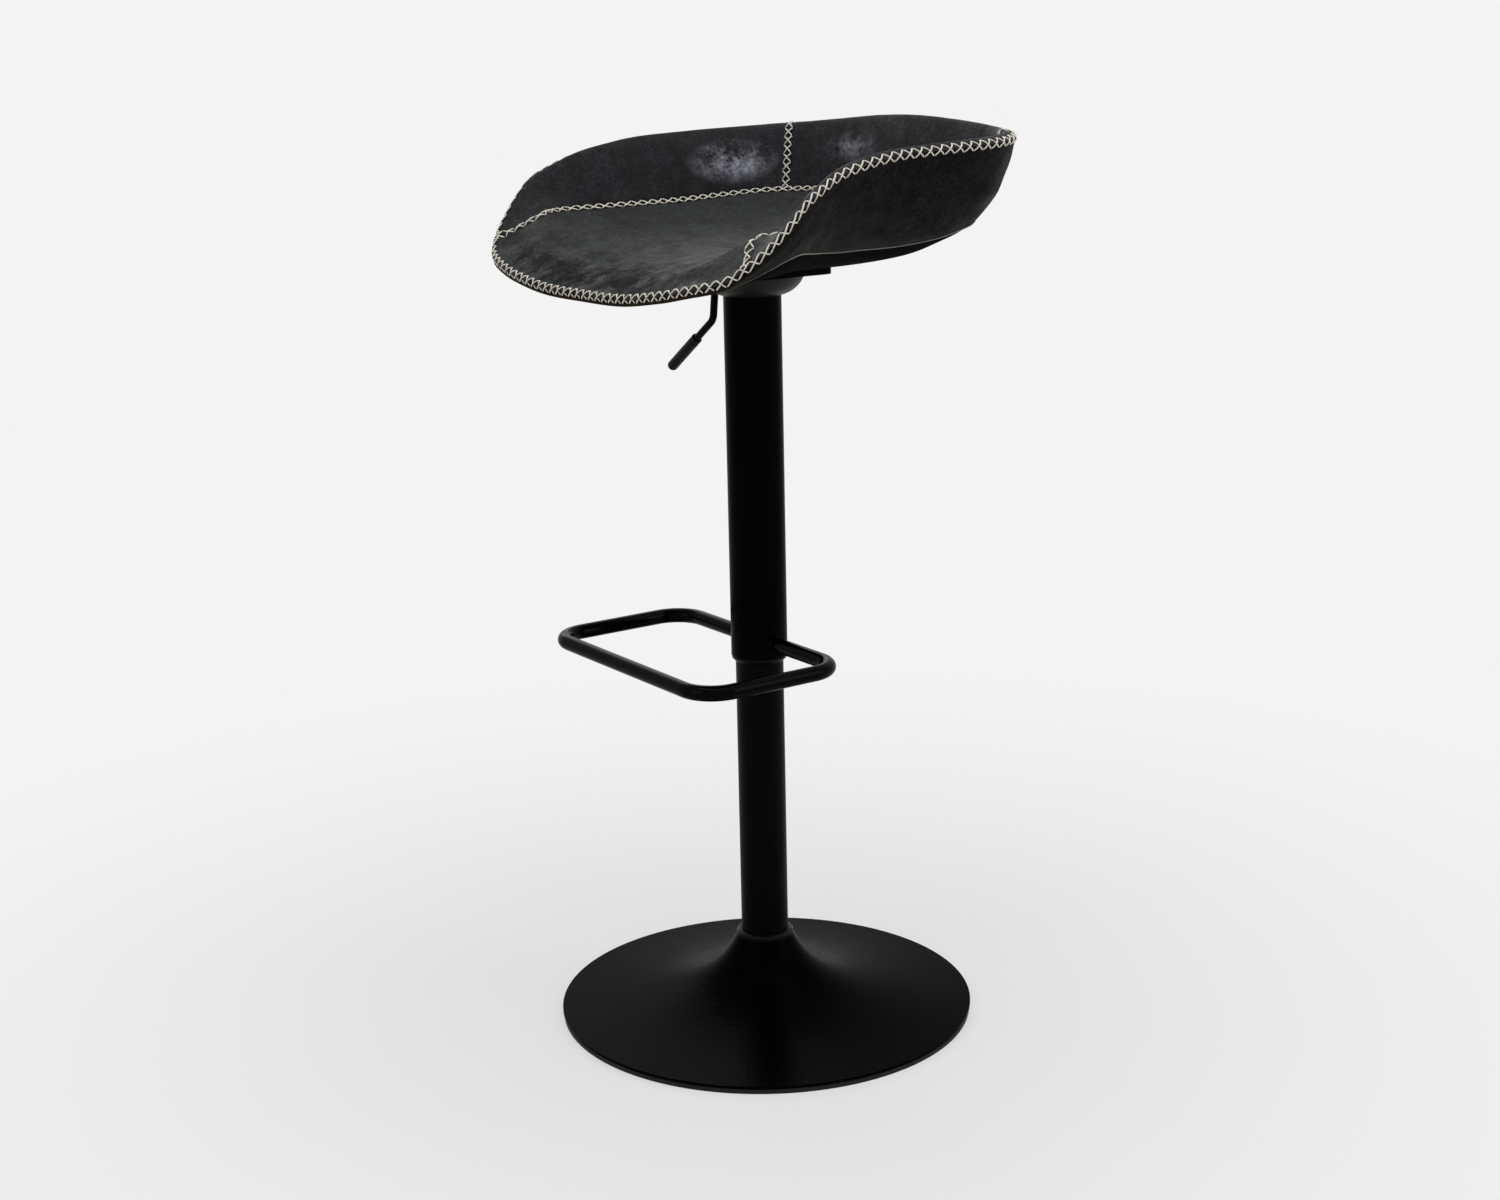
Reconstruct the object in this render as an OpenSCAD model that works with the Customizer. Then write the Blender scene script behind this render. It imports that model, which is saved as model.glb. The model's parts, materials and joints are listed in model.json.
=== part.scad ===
/* [Base] */
// Diameter of the round base over its steel edge
base_d = 450; // [380:5:520]
// Height of the base cover's neck above the floor
neck_h = 84; // [70:1:110]
// Radius of the base cover's neck
neck_r = 31; // [29:0.5:36]
// How far the flare spreads before it flattens, larger is fuller
flare_spread = 42; // [30:1:60]
// Sheet thickness of the base cover
cover_sheet = 1.5; // [1:0.1:2.5]
// Height of the cover's upright edge
cover_edge_h = 3; // [2:0.5:6]
// Height of the rubber floor ring
ring_h = 5.5; // [4:0.5:8]
// Width of the rubber floor ring
ring_w = 24; // [16:1:40]
// Thickness of the floor ring under the weight
ring_floor = 3; // [2:0.5:4]
// Thickness of the weight's wide plate
weight_plate_t = 3.5; // [2.5:0.5:4.5]
// Diameter of the weight's raised hub
weight_hub_d = 236; // [160:2:250]
// Height of the weight's hub above its plate
weight_hub_h = 9.5; // [7:0.5:10]
// Diameter of the round clear space in the middle of the weight
weight_bore_d = 60; // [44:1:64]
// Diameter of the base bolts
base_bolt_d = 8; // [6:1:10]
// Number of base bolts
base_bolt_count = 3; // [3:1:6]
// Height of the collar ring at the foot of the column
collar_h = 6; // [4:0.5:10]

/* [Column] */
// Outside diameter of the fixed column
column_d = 51; // [45:0.5:54]
// Wall of the fixed column
column_wall = 1.5; // [1:0.1:2.5]
// Height of the column's upper end above the floor
column_top_z = 535; // [500:5:540]
// Diameter of the flange welded to the column's foot
flange_d = 100; // [92:2:120]
// Thickness of the foot flange
flange_t = 6; // [4:0.5:8]
// Length of the guide bush in the column's upper end
guide_len = 40; // [25:1:60]
// Thickness of the guide bush's lip
guide_lip_t = 3; // [2:0.5:4]

/* [Gas spring] */
// Outside diameter of the gas cylinder
cylinder_d = 28; // [26:0.5:30]
// Wall of the gas cylinder
cylinder_wall = 1.5; // [1:0.1:2.5]
// Height of the cylinder's lower end at the top of its travel
cylinder_low_z = 400; // [330:5:430]
// Diameter of the piston rod
rod_d = 10; // [8:0.5:12]
// Travel of the seat from its highest to its lowest position
stroke = 210; // [150:5:212]
// Length of the cylinder's taper
taper_len = 30; // [24:1:34]
// How much the taper narrows in diameter
taper_drop = 2; // [1:0.1:3]
// Diameter of the release pin
pin_d = 6; // [4:0.5:8]
// How far the release pin stands out of the cylinder
pin_out = 4.6; // [4:0.1:6]
// Length of the cylinder's closed upper end
cylinder_head = 34; // [26:1:40]
// Thickness of the gland that closes the cylinder's lower end
gland_t = 12; // [8:1:16]
// Thickness of the piston
piston_t = 12; // [8:1:16]

/* [Sleeve] */
// Outside diameter of the sliding sleeve
sleeve_d = 60; // [58:0.5:64]
// Wall of the sliding sleeve
sleeve_wall = 1.5; // [1:0.1:2]
// Height of the sleeve's lower end at the top of its travel
sleeve_low_z = 402; // [390:1:420]
// Length of the sleeve
sleeve_len = 382; // [360:1:400]
// Height of the bush lip that shows under the sleeve
bush_lip_h = 6; // [3:0.5:9]
// Length of the bush inside the sleeve
bush_len = 30; // [20:1:50]
// Thickness of the cap that seats the sleeve on the cylinder
cap_t = 8; // [5:0.5:12]
// Depth of that cap under the sleeve's upper end
cap_depth = 20; // [18:1:26]

/* [Footrest] */
// Width between the centre lines of the footrest's two arms
rest_w = 292; // [240:2:340]
// Distance from the column's axis to the centre line of the front bar
rest_reach = 168; // [130:2:200]
// Diameter of the footrest tube
rest_d = 16; // [14:0.5:20]
// Wall of the footrest tube
rest_wall = 1.5; // [1:0.1:2]
// Bend radius of the footrest's corners at the centre line
rest_bend = 34; // [26:1:60]
// Height of the footrest's centre line above the sleeve's lower end
rest_up = 16; // [14:1:60]
// Width of the weld bead around each end of the footrest
weld_w = 3; // [2:0.5:4]

/* [Seat plate and bell] */
// Side of the square seat plate
plate_w = 124; // [118:1:134]
// Corner radius of the seat plate
plate_corner = 14; // [10:1:20]
// Sheet thickness of the seat plate
plate_t = 2.5; // [2:0.1:3]
// Depth of the seat plate's turned-down edge
plate_edge_h = 8.9; // [8:0.1:11]
// Distance of the seat bolts in from the plate's edges
bolt_inset = 15; // [13:0.5:18]
// Diameter of the seat bolts
seat_bolt_d = 6; // [5:0.5:7]
// Distance of the bell cover's upper edge in from the plate's edges
bell_inset = 7; // [6:0.5:10]
// Wall of the bell cover
bell_wall = 1.5; // [1:0.1:2]
// Height of the bell cover
bell_h = 27.4; // [26:0.1:30]
// Wall of the taper socket
socket_wall = 5; // [3:0.5:6]

/* [Lever] */
// Diameter of the lever rod
lever_d = 8; // [6:0.5:8.5]
// Distance from the column's axis to the lever's pivot
lever_arm = 36; // [32:0.5:38]
// Diameter of the pivot pin
lever_pin_d = 4; // [3:0.5:4.5]
// Angle that the lever swings to release the gas spring
lever_swing = 5; // [3:0.5:5]
// Distance from the axis to where the rod starts to bend down
lever_run = 57; // [56:0.5:60]
// Radius of the rod's first bend
lever_bend_a = 10; // [8:0.5:14]
// Angle of the rod's first bend
lever_turn_a = 82; // [70:1:90]
// Length of the rod between its two bends
lever_drop = 38; // [30:1:50]
// Radius of the rod's second bend
lever_bend_b = 14; // [10:1:20]
// Angle of the rod's second bend
lever_turn_b = 47; // [30:1:60]
// Length of bare rod between the second bend and the grip
lever_bare = 32; // [20:1:50]
// Length of the grip
grip_len = 66; // [50:1:90]
// Diameter of the grip
grip_d = 11.6; // [11:0.1:16]

/* [Seat] */
// Width of the seat over its rim, at the middle of the sides
seat_w = 474; // [430:2:500]
// Distance from the axis to the front lip
seat_front = 202.5; // [185:0.5:220]
// Distance from the axis to the back of the rim
seat_back = 210; // [200:1:222]
// Squareness of the seat's outline, 2 is an ellipse
seat_square = 4.4; // [2.4:0.1:5]
// Thickness of the seat in its middle
seat_t = 24; // [22:0.5:30]
// Height of the front lip over the seat's underside
lip_rise = -7.5; // [-14:0.5:4]
// Height of the rim at the back over the seat's underside
rim_rise = 143.5; // [110:0.5:170]
// Height of the front crest over the seat's underside
crest_rise = 3.5; // [0:0.5:12]
// Height of the seam at the back over the seat's underside
seam_rise = 65.5; // [50:0.5:80]
// Distance from the rim in to the seam at the foot of the wall
seam_inset = 40; // [34:1:46]
// Thickness of the rounded edge at the rim
rim_edge_h = 11; // [9:0.5:14]

/* [Hidden] */
$fn = 72;

// Clearances: a running fit, a loose gap and the overrun of every cut
run_gap = 0.05;
loose_gap = 0.4;
cut = 1;

// Radii that several pieces share
base_r = base_d / 2;
column_r = column_d / 2;
column_in_r = column_r - column_wall;
cylinder_r = cylinder_d / 2;
bore_r = cylinder_r - cylinder_wall;
rod_r = rod_d / 2;
sleeve_r = sleeve_d / 2;
sleeve_in_r = sleeve_r - sleeve_wall;
pin_r = pin_d / 2;

// Heights in the base, from the floor up
weight_low_z = ring_floor;
weight_mid_z = weight_low_z + weight_plate_t;
flange_low_z = weight_mid_z + weight_hub_h;
flange_top_z = flange_low_z + flange_t;
edge_top_z = ring_h + cover_edge_h;
ring_lip_w = 6.5;
ring_step = 1;
bolt_head_h = 0.65 * base_bolt_d;
bolt_head_r = 0.82 * base_bolt_d;
base_bolt_pcr = (column_r + flange_d / 2) / 2;

// The flare is one branch of a hyperbola from the edge to the neck
flare_c = neck_r - flare_spread;
flare_a = (neck_h - edge_top_z) / (1 / (neck_r - flare_c) - 1 / (base_r - flare_c));
flare_steps = 24;
function flare_z(r) = edge_top_z + flare_a * (1 / (r - flare_c) - 1 / (base_r - flare_c));
function flare_r(k) = base_r + (neck_r - base_r) * sin(90 * k / flare_steps);

// Swivel bearing on the foot flange
race_t = 1.5;
ball_r = 2;
ball_count = 8;
race_r = 13;
ball_pcr = (rod_r + race_r) / 2;
cage_t = 1.6;
balls_z = flange_top_z + race_t + ball_r;
race_gap = 0.1;
bearing_top_z = balls_z + ball_r + race_gap;
bumper_low_z = bearing_top_z + race_t;
bumper_h = 16;
bumper_r = 12;
clip_t = 1.3;
clip_r = 9;
rod_tail = 8;

// Gas spring heights at the top of the travel
sleeve_top_z = sleeve_low_z + sleeve_len;
cap_top_z = sleeve_top_z - cap_depth;
taper_low_z = cap_top_z + loose_gap;
taper_top_z = taper_low_z + taper_len;
pin_top_z = taper_top_z + pin_out;
piston_low_z = cylinder_low_z + gland_t + 2 * loose_gap;
taper_r = cylinder_r - taper_drop / 2;

// Seat plate heights
bolt_pitch = plate_w - 2 * bolt_inset;
lever_z = pin_top_z + loose_gap + lever_d / 2;
lever_rise = (plate_w / 2 - lever_arm) * sin(lever_swing);
sheet_low_z = lever_z + lever_d / 2 + lever_rise + 4 * loose_gap;
sheet_top_z = sheet_low_z + plate_t;
bell_low_z = sheet_low_z - bell_h;
slot_w = lever_d + 6 * loose_gap;
lever_dip = lever_arm * sin(lever_swing);
slot_low_z = lever_z - lever_d / 2 - loose_gap - lever_dip;
socket_r = cylinder_r + socket_wall;
socket_low_z = taper_low_z + 2 * loose_gap;
ear_t = 3;
ear_gap = lever_d / 2 + loose_gap;
ear_w = 10;
ear_low = 3.5;
nut_r = 0.72 * seat_bolt_d;

// Footrest
rest_z = sleeve_low_z + rest_up;
rest_r = rest_d / 2;
rest_half = rest_w / 2;

// The seat's layers lie between its upper and its outer surface, as shares of the way through
leather_share = 0.08;
foam_share = 0.55;
board_share = 0.92;
seat_low_z = sheet_top_z + loose_gap - (1 - board_share) * seat_t;
bolt_reach = 0.8 * (board_share - foam_share) * seat_t;
half_w = seat_w / 2;
lip_z = seat_low_z + lip_rise;
rim_back_z = seat_low_z + rim_rise;
crest_z = seat_low_z + crest_rise;
seam_back_z = seat_low_z + seam_rise;
dish_z = seat_low_z + seat_t;

// Steps around the seat, and the steps where the front corners and the wall's upright seams lie
around = 48;
corner_step = 7;
seam_step = 18;

// Angle from the front, and the rim's rise there as a share of its rise from lip to back
rim_shares = [[0, 0], [20, 0.008], [34, 0.057], [43, 0.113], [50, 0.168], [54, 0.247], [57, 0.325],
    [60, 0.415], [63, 0.52], [66, 0.625], [69.5, 0.698], [74, 0.766], [80, 0.813], [90, 0.86],
    [105, 0.885], [122, 0.905], [135, 0.93], [180, 1]];
// Angle from the front, and the seam's rise there as a share of its rise from crest to back
seam_shares = [[0, 0], [20, 0.04], [35, 0.18], [45, 0.38], [54, 0.64], [60, 0.735], [68, 0.785],
    [80, 0.81], [100, 0.83], [115, 0.87], [130, 0.935], [145, 0.97], [180, 1]];
// Angle from the front, and the seam's distance from the rim there as a share of that at the back
inset_shares = [[0, 0.85], [40, 1], [54, 1.25], [58, 1.28], [62, 1.23], [66, 1.14], [70, 1.05],
    [76, 1], [100, 1], [115, 1.1], [130, 1.2], [140, 1.2], [155, 1.05], [180, 1]];
// Angle from the front, and the outline's half width there as a share of the seat's
waist_shares = [[0, 1.16], [62, 1.11], [75, 1.026], [95, 0.989], [112, 0.983], [125, 0.986], [180, 0.986]];
// Stations across the pan, as shares of the way from the middle to the seam
pan_shares = [0, 0.3, 0.55, 0.78, 0.92, 1];
// Stations up the wall: share of the seam's inset, share of the rise to the rim, share of the edge drop
wall_shares = [[0.8, 0.27, 0], [0.5, 0.72, 0], [0.25, 1, 0], [0.07, 1, 0.18], [0, 1, 0.55]];
// Stations of the outer surface: share of the outline, share of the seam's inset, share of the rise
outer_shares = [[0, 0, 0], [0.31, 0, 0], [0.45, 0, 0.03], [0.61, 0, 0.1], [0.72, 0, 0.195],
    [0.83, 0, 0.325], [1, 0.49, 0.57], [1, 0.25, 0.745], [1, 0.1, 0.875], [1, 0.04, 0.96], [1, 0, 1]];
seam_row = 5;
hem_row = 4;
rim_row = 10;

// Smooth curve through a table of angle and share, level at both ends
function row_at(t, i) = t[max(0, min(len(t) - 1, i))];
function row_slope(t, i) = (i <= 0 || i >= len(t) - 1) ? 0
    : (row_at(t, i + 1)[1] - row_at(t, i - 1)[1]) / (row_at(t, i + 1)[0] - row_at(t, i - 1)[0]);
function row_under(t, x, i = 0) = (i >= len(t) - 2 || x <= t[i + 1][0]) ? i : row_under(t, x, i + 1);
function ease(a, b, ma, mb, u) = a * (2 * u * u * u - 3 * u * u + 1) + ma * (u * u * u - 2 * u * u + u)
    + b * (3 * u * u - 2 * u * u * u) + mb * (u * u * u - u * u);
function curve(t, x) = let (i = row_under(t, x), w = t[i + 1][0] - t[i][0])
    ease(t[i][1], t[i + 1][1], row_slope(t, i) * w, row_slope(t, i + 1) * w, (x - t[i][0]) / w);

// Angle from the front of step j, folded so that both sides are alike
function turn(j) = 360 * j / around;
function fold(j) = turn(j) > 180 ? 360 - turn(j) : turn(j);
function rim_z(j) = lip_z + (rim_back_z - lip_z) * curve(rim_shares, fold(j));
function seam_z(j) = crest_z + (seam_back_z - crest_z) * curve(seam_shares, fold(j));
function inset(j) = seam_inset * curve(inset_shares, fold(j));
function side_w(j) = half_w * curve(waist_shares, fold(j));
function deep(j) = cos(turn(j)) > 0 ? seat_front : seat_back;
function rim_r(j) = pow(pow(abs(sin(turn(j))) / side_w(j), seat_square)
    + pow(abs(cos(turn(j))) / deep(j), seat_square), -1 / seat_square);
function place(j, r, z) = [r * sin(turn(j)), -r * cos(turn(j)), z];

// Upper and outer surface at station i of step j
function upper(i, j) = i <= seam_row
    ? place(j, (rim_r(j) - inset(j)) * pan_shares[i],
        dish_z + (seam_z(j) - dish_z) * pow(pan_shares[i], 2))
    : let (w = wall_shares[i - seam_row - 1]) place(j, rim_r(j) - inset(j) * w[0],
        seam_z(j) + (rim_z(j) - seam_z(j)) * w[1] - rim_edge_h * w[2]);
function outer(i, j) = let (o = outer_shares[i]) place(j, rim_r(j) * o[0] - seam_inset * o[1],
    seat_low_z + (rim_z(j) - rim_edge_h - seat_low_z) * o[2]);
function layer(i, j, s) = upper(i, j) * (1 - s) + outer(i, j) * s;

// One closed layer of the seat between shares s0 and s1, over the cells that the rule keeps
module seat_layer(s0, s1, keep) {
    size = rim_row * around;
    points = concat([layer(0, 0, s0), layer(0, 0, s1)],
        [for (s = [s0, s1]) for (i = [1:rim_row]) for (j = [0:around - 1]) layer(i, j, s)]);
    function at(k, i, j) = i == 0 ? k : 2 + k * size + (i - 1) * around + (j + around) % around;
    function kept(i, j) = i >= 0 && i < rim_row && keep(i, (j + around) % around);
    cells = [for (i = [0:rim_row - 1]) for (j = [0:around - 1]) if (kept(i, j)) [i, j]];
    faces = [for (c = cells) let (i = c[0], j = c[1]) each concat(
        [[at(0, i, j), at(0, i + 1, j), at(0, i + 1, j + 1)], [at(1, i, j), at(1, i + 1, j + 1), at(1, i + 1, j)]],
        i == 0 ? [] : [[at(0, i, j), at(0, i + 1, j + 1), at(0, i, j + 1)],
            [at(1, i, j), at(1, i, j + 1), at(1, i + 1, j + 1)]],
        kept(i + 1, j) ? [] : [[at(0, i + 1, j), at(1, i + 1, j), at(1, i + 1, j + 1)],
            [at(0, i + 1, j), at(1, i + 1, j + 1), at(0, i + 1, j + 1)]],
        (i == 0 || kept(i - 1, j)) ? [] : [[at(0, i, j), at(0, i, j + 1), at(1, i, j + 1)],
            [at(0, i, j), at(1, i, j + 1), at(1, i, j)]],
        kept(i, j - 1) ? [] : side(at(0, i, j), at(0, i + 1, j), at(1, i, j), at(1, i + 1, j), i),
        kept(i, j + 1) ? [] : side(at(1, i, j + 1), at(1, i + 1, j + 1), at(0, i, j + 1), at(0, i + 1, j + 1), i))];
    polyhedron(points, faces);
}
function side(a, b, c, d, i) = [[a, c, d], [a, d, b]];

// A tube or disc about the column's axis
module tube(r_out, r_in, z_low, z_high) {
    rotate_extrude() translate([r_in, z_low]) square([r_out - r_in, z_high - z_low]);
}

// A rod on the column's axis
module rod(r, z_low, z_high) {
    translate([0, 0, z_low]) cylinder(r = r, h = z_high - z_low);
}

// A square outline with rounded corners
module rounded_square(w, r) {
    square([w, w - 2 * r], center = true);
    square([w - 2 * r, w], center = true);
    for (x = [-1, 1]) for (y = [-1, 1])
        translate([x * (w / 2 - r), y * (w / 2 - r)]) circle(r = r);
}

// Places on a circle about the column's axis
module ring_of(count, r) {
    for (k = [0:count - 1]) rotate([0, 0, 360 * k / count]) translate([r, 0, 0]) children();
}

// Places of the four seat bolts
module at_seat_bolts() {
    for (x = [-1, 1]) for (y = [-1, 1])
        translate([x * bolt_pitch / 2, y * bolt_pitch / 2, 0]) children();
}

module base_ring() {
    color("#141414") rotate_extrude() polygon([
        [base_r - ring_step - ring_w, 0], [base_r - ring_step, 0], [base_r - ring_step, ring_h],
        [base_r - ring_lip_w, ring_h], [base_r - ring_lip_w, ring_floor],
        [base_r - ring_step - ring_w, ring_floor]]);
}

module base_cover() {
    outside = [for (k = [0:flare_steps]) let (r = flare_r(k)) [r, flare_z(r)]];
    inside = [for (k = [flare_steps:-1:0]) let (r = flare_r(k))
        [min(r, base_r - cover_sheet), flare_z(r) - cover_sheet]];
    lip = column_r + loose_gap;
    color("#1b1b1c") rotate_extrude() polygon(concat(
        [[base_r - cover_sheet, ring_h], [base_r, ring_h]], outside,
        [[lip, neck_h], [lip, neck_h - cover_sheet]], inside));
}

module base_weight() {
    color("#3a3a3c") difference() {
        rotate_extrude() polygon([
            [weight_bore_d / 2, weight_low_z], [base_r - ring_lip_w - loose_gap, weight_low_z],
            [base_r - ring_lip_w - loose_gap, weight_mid_z], [weight_hub_d / 2, weight_mid_z],
            [weight_hub_d / 2, flange_low_z], [weight_bore_d / 2, flange_low_z]]);
        ring_of(base_bolt_count, base_bolt_pcr) {
            rod(base_bolt_d / 2 + loose_gap, weight_low_z - cut, flange_low_z + cut);
            rod(bolt_head_r + loose_gap, weight_low_z - cut, flange_low_z - bolt_head_h / 2);
        }
    }
}

module base_bolts() {
    seat_z = flange_low_z - bolt_head_h / 2;
    color("#8f9194") ring_of(base_bolt_count, base_bolt_pcr) {
        rod(base_bolt_d / 2, seat_z, flange_top_z);
        translate([0, 0, seat_z - bolt_head_h]) cylinder(r = bolt_head_r, h = bolt_head_h, $fn = 6);
    }
}

module collar_ring() {
    inner = column_r + run_gap;
    color("#1a1a1b") rotate_extrude() polygon([
        [inner, neck_h], [neck_r, neck_h], [neck_r, neck_h + collar_h / 2],
        [neck_r - collar_h / 4, neck_h + collar_h * 0.87], [neck_r - collar_h / 2, neck_h + collar_h],
        [inner, neck_h + collar_h]]);
}

module lower_column() {
    color("#19191a") tube(column_r, column_in_r, flange_top_z, column_top_z);
}

module column_flange() {
    color("#303032") difference() {
        tube(flange_d / 2, rod_r + run_gap, flange_low_z, flange_top_z);
        ring_of(base_bolt_count, base_bolt_pcr)
            rod(base_bolt_d / 2, flange_low_z - cut, flange_top_z + cut);
    }
}

module guide_bush() {
    color("#2b2b2d") {
        tube(column_in_r, cylinder_r + run_gap, column_top_z - guide_len, column_top_z);
        tube(column_r, cylinder_r + run_gap, column_top_z, column_top_z + guide_lip_t);
    }
}

module bearing_seat() {
    color("#9a9ca0") tube(race_r, rod_r + loose_gap, flange_top_z, flange_top_z + race_t);
}

module bearing_cage() {
    color("#b08a3a") difference() {
        tube(race_r, rod_r + loose_gap, balls_z - cage_t / 2, balls_z + cage_t / 2);
        ring_of(ball_count, ball_pcr) rod(ball_r, balls_z - cage_t, balls_z + cage_t);
    }
}

module bearing_balls() {
    color("#c4c6ca") ring_of(ball_count, ball_pcr) translate([0, 0, balls_z]) sphere(r = ball_r);
}

module bearing_top() {
    color("#9a9ca0") tube(race_r, rod_r, bearing_top_z, bearing_top_z + race_t);
}

module stop_bumper() {
    color("#141414") tube(bumper_r, rod_r, bumper_low_z, bumper_low_z + bumper_h);
}

module rod_clip() {
    color("#55585c") tube(clip_r, rod_r, flange_low_z - loose_gap - clip_t, flange_low_z - loose_gap);
}

module piston_rod() {
    color("#c9ccd0") rod(rod_r, rod_tail, piston_low_z + piston_t);
}

module piston() {
    color("#7d8084") tube(bore_r - run_gap, rod_r, piston_low_z, piston_low_z + piston_t);
}

module gas_cylinder() {
    color("#26272a") rotate_extrude() polygon([
        [bore_r, cylinder_low_z], [cylinder_r, cylinder_low_z], [cylinder_r, taper_low_z],
        [taper_r, taper_top_z], [pin_r + run_gap, taper_top_z],
        [pin_r + run_gap, taper_top_z - cylinder_head], [bore_r, taper_top_z - cylinder_head]]);
}

module cylinder_gland() {
    color("#6b6e72") tube(bore_r, rod_r + run_gap, cylinder_low_z, cylinder_low_z + gland_t);
}

module release_pin() {
    color("#c9ccd0") rod(pin_r, taper_top_z - cylinder_head, pin_top_z);
}

module sleeve() {
    color("#18181a") tube(sleeve_r, sleeve_in_r, sleeve_low_z, sleeve_top_z);
}

module sleeve_cap() {
    color("#242426") tube(sleeve_in_r, cylinder_r, cap_top_z - cap_t, cap_top_z);
}

module sleeve_bush() {
    inner = column_r + run_gap;
    lip_r = (sleeve_r + sleeve_in_r) / 2;
    color("#1f1f20") {
        tube(sleeve_in_r, inner, sleeve_low_z, sleeve_low_z + bush_len);
        rotate_extrude() polygon([
            [inner, sleeve_low_z], [inner, sleeve_low_z - bush_lip_h],
            [lip_r - bush_lip_h / 2, sleeve_low_z - bush_lip_h],
            [lip_r, sleeve_low_z - bush_lip_h / 2], [lip_r, sleeve_low_z]]);
    }
}

// A straight length of tube along X, then the bend at its far end
module rest_straight(from, to) {
    translate([from, 0, 0]) rotate([0, 90, 0]) difference() {
        cylinder(r = rest_r, h = to - from);
        translate([0, 0, -cut]) cylinder(r = rest_r - rest_wall, h = to - from + 2 * cut);
    }
}
module rest_elbow() {
    rotate_extrude(angle = 90) translate([rest_bend, 0]) difference() {
        circle(r = rest_r);
        circle(r = rest_r - rest_wall);
    }
}

module footrest_half() {
    start = sqrt(pow(sleeve_r, 2) - pow(rest_r, 2));
    difference() {
        rest_straight(start, rest_half - rest_bend);
        rod(sleeve_r, -2 * rest_d, 2 * rest_d);
    }
    translate([rest_half - rest_bend, -rest_bend, 0]) rest_elbow();
    translate([rest_half, 0, 0]) rotate([0, 0, -90]) rest_straight(rest_bend, rest_reach - rest_bend);
    translate([rest_half - rest_bend, rest_bend - rest_reach, 0]) rotate([0, 0, -90]) rest_elbow();
    translate([0, -rest_reach, 0]) rest_straight(0, rest_half - rest_bend);
}

module footrest() {
    color("#17171a") translate([0, 0, rest_z]) {
        footrest_half();
        mirror([1, 0, 0]) footrest_half();
    }
}

module footrest_welds() {
    reach = sleeve_r + weld_w;
    color("#202022") for (s = [0, 1]) mirror([s, 0, 0]) translate([0, 0, rest_z]) difference() {
        rotate([0, 90, 0]) cylinder(r1 = rest_r + 2 * weld_w, r2 = rest_r + weld_w / 4, h = reach);
        rotate([0, 90, 0]) translate([0, 0, -cut]) cylinder(r = rest_r, h = reach + 2 * cut);
        rod(sleeve_r, -2 * rest_d, 2 * rest_d);
    }
}

module bell_cover() {
    low_r = sleeve_r + bell_wall;
    high_r = plate_w / 2 - bell_inset;
    steps = 14;
    function bow(k, t) = [low_r + t + (high_r - low_r) * sin(90 * k / steps),
        bell_low_z + bell_h * (1 - cos(90 * k / steps)) * 0.72 + bell_h * 0.28 * k / steps];
    color("#232325") difference() {
        rotate_extrude() polygon(concat([for (k = [0:steps]) bow(k, 0)],
            [for (k = [steps:-1:0]) bow(k, -bell_wall)]));
        translate([-lever_run - slot_w, -slot_w / 2, lever_z - slot_w / 2])
            cube([lever_run, slot_w, bell_h]);
    }
}

module taper_socket() {
    color("#3c3e42") difference() {
        rotate_extrude() polygon([
            [cylinder_r - (socket_low_z - taper_low_z) * (cylinder_r - taper_r) / taper_len, socket_low_z],
            [socket_r, socket_low_z], [socket_r, sheet_low_z], [taper_r, sheet_low_z],
            [taper_r, taper_top_z]]);
        translate([-2 * socket_r, -slot_w / 2, slot_low_z])
            cube([2 * socket_r, slot_w, sheet_low_z - slot_low_z + cut]);
    }
}

module seat_plate() {
    edge_z = sheet_top_z - plate_edge_h;
    color("#29292b") {
        difference() {
            translate([0, 0, edge_z]) linear_extrude(plate_edge_h) rounded_square(plate_w, plate_corner);
            translate([0, 0, edge_z - cut]) linear_extrude(plate_edge_h - plate_t + cut)
                rounded_square(plate_w - 2 * plate_t, plate_corner - plate_t);
            at_seat_bolts() rod(seat_bolt_d / 2 + loose_gap, edge_z, sheet_top_z + cut);
            translate([-plate_w, -slot_w / 2, edge_z - cut])
                cube([plate_w / 2 + 2 * plate_t, slot_w, plate_edge_h - plate_t + cut]);
        }
        for (s = [-1, 1]) difference() {
            translate([-lever_arm - ear_w / 2, s * (ear_gap + ear_t / 2) - ear_t / 2, lever_z - ear_low])
                cube([ear_w, ear_t, sheet_low_z - lever_z + ear_low]);
            translate([-lever_arm, 0, lever_z]) rotate([90, 0, 0])
                cylinder(r = lever_pin_d / 2, h = 4 * ear_gap, center = true);
        }
    }
}

module seat_bolts() {
    head_h = 0.6 * seat_bolt_d;
    color("#5a5c60") at_seat_bolts() {
        rod(seat_bolt_d / 2, sheet_low_z, sheet_top_z + bolt_reach);
        translate([0, 0, sheet_low_z - head_h]) cylinder(r = 0.85 * seat_bolt_d, h = head_h);
    }
}

module seat_nuts() {
    color("#8f9194") at_seat_bolts()
        tube(nut_r, seat_bolt_d / 2, sheet_top_z, sheet_top_z + bolt_reach);
}

module lever_pin() {
    color("#9a9ca0") translate([-lever_arm, 0, lever_z]) rotate([90, 0, 0])
        cylinder(r = lever_pin_d / 2, h = 2 * (ear_gap + ear_t + loose_gap), center = true);
}

bend_lap = 1;
bend_step = 0.02;

// A rod that runs along X, bends, and carries on in the new direction
module bent_run(len, bend, angle, r) {
    rotate([0, 90, 0]) cylinder(r = r, h = len);
    translate([len, 0, 0]) {
        translate([0, -bend, 0]) rotate([0, 0, 90 - angle - bend_lap])
            rotate_extrude(angle = angle + 2 * bend_lap) translate([bend, 0]) circle(r = r - bend_step);
        translate([0, -bend, 0]) rotate([0, 0, -angle]) translate([0, bend, 0]) children();
    }
}

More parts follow.
